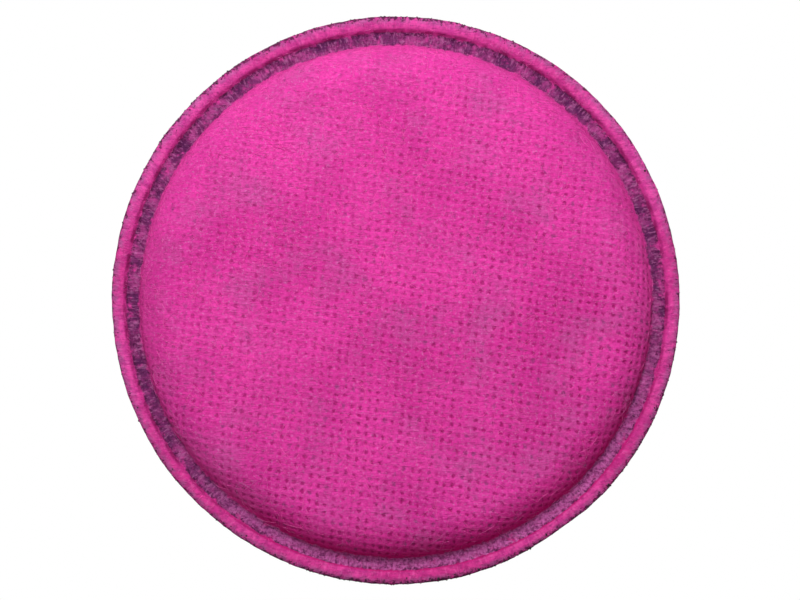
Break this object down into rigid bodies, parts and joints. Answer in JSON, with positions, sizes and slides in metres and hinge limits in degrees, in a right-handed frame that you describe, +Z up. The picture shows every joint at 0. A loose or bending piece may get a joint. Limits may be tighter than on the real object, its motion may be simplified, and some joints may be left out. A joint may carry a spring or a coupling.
{
  "type": "respirator filter disc",
  "caption": "Round pillow-shaped magenta particulate filter with a welded rim, layered filter webs inside and a bayonet collar at the back.",
  "frame": {"origin": "centre of the collar's sealing face at the back of the disc", "axes": "+Y out of the socket along the disc's axis, -Y through the front cover, +Z up through the index notch"},
  "size_m": [0.105, 0.021, 0.105],
  "materials": {
    "cover": "matte",
    "carbon_web": "matte",
    "filter_felt": "matte",
    "scrim": "matte",
    "fitting_plastic": "satin",
    "grid_plastic": "satin",
    "adhesive": "satin"
  },
  "bodies": {
    "root": {"front_cover_web": "cover", "front_carbon_web": "carbon_web", "front_outer_felt": "filter_felt", "front_inner_felt": "filter_felt", "front_inner_scrim": "scrim", "spacer_grid": "grid_plastic", "baffle_plate": "fitting_plastic", "clamp_flange": "fitting_plastic", "rear_inner_scrim": "scrim", "rear_inner_felt": "filter_felt", "rear_outer_felt": "filter_felt", "rear_carbon_web": "carbon_web", "rear_cover_web": "cover", "adhesive_ring": "adhesive", "bayonet_collar": "fitting_plastic"}
  },
  "joints": []
}
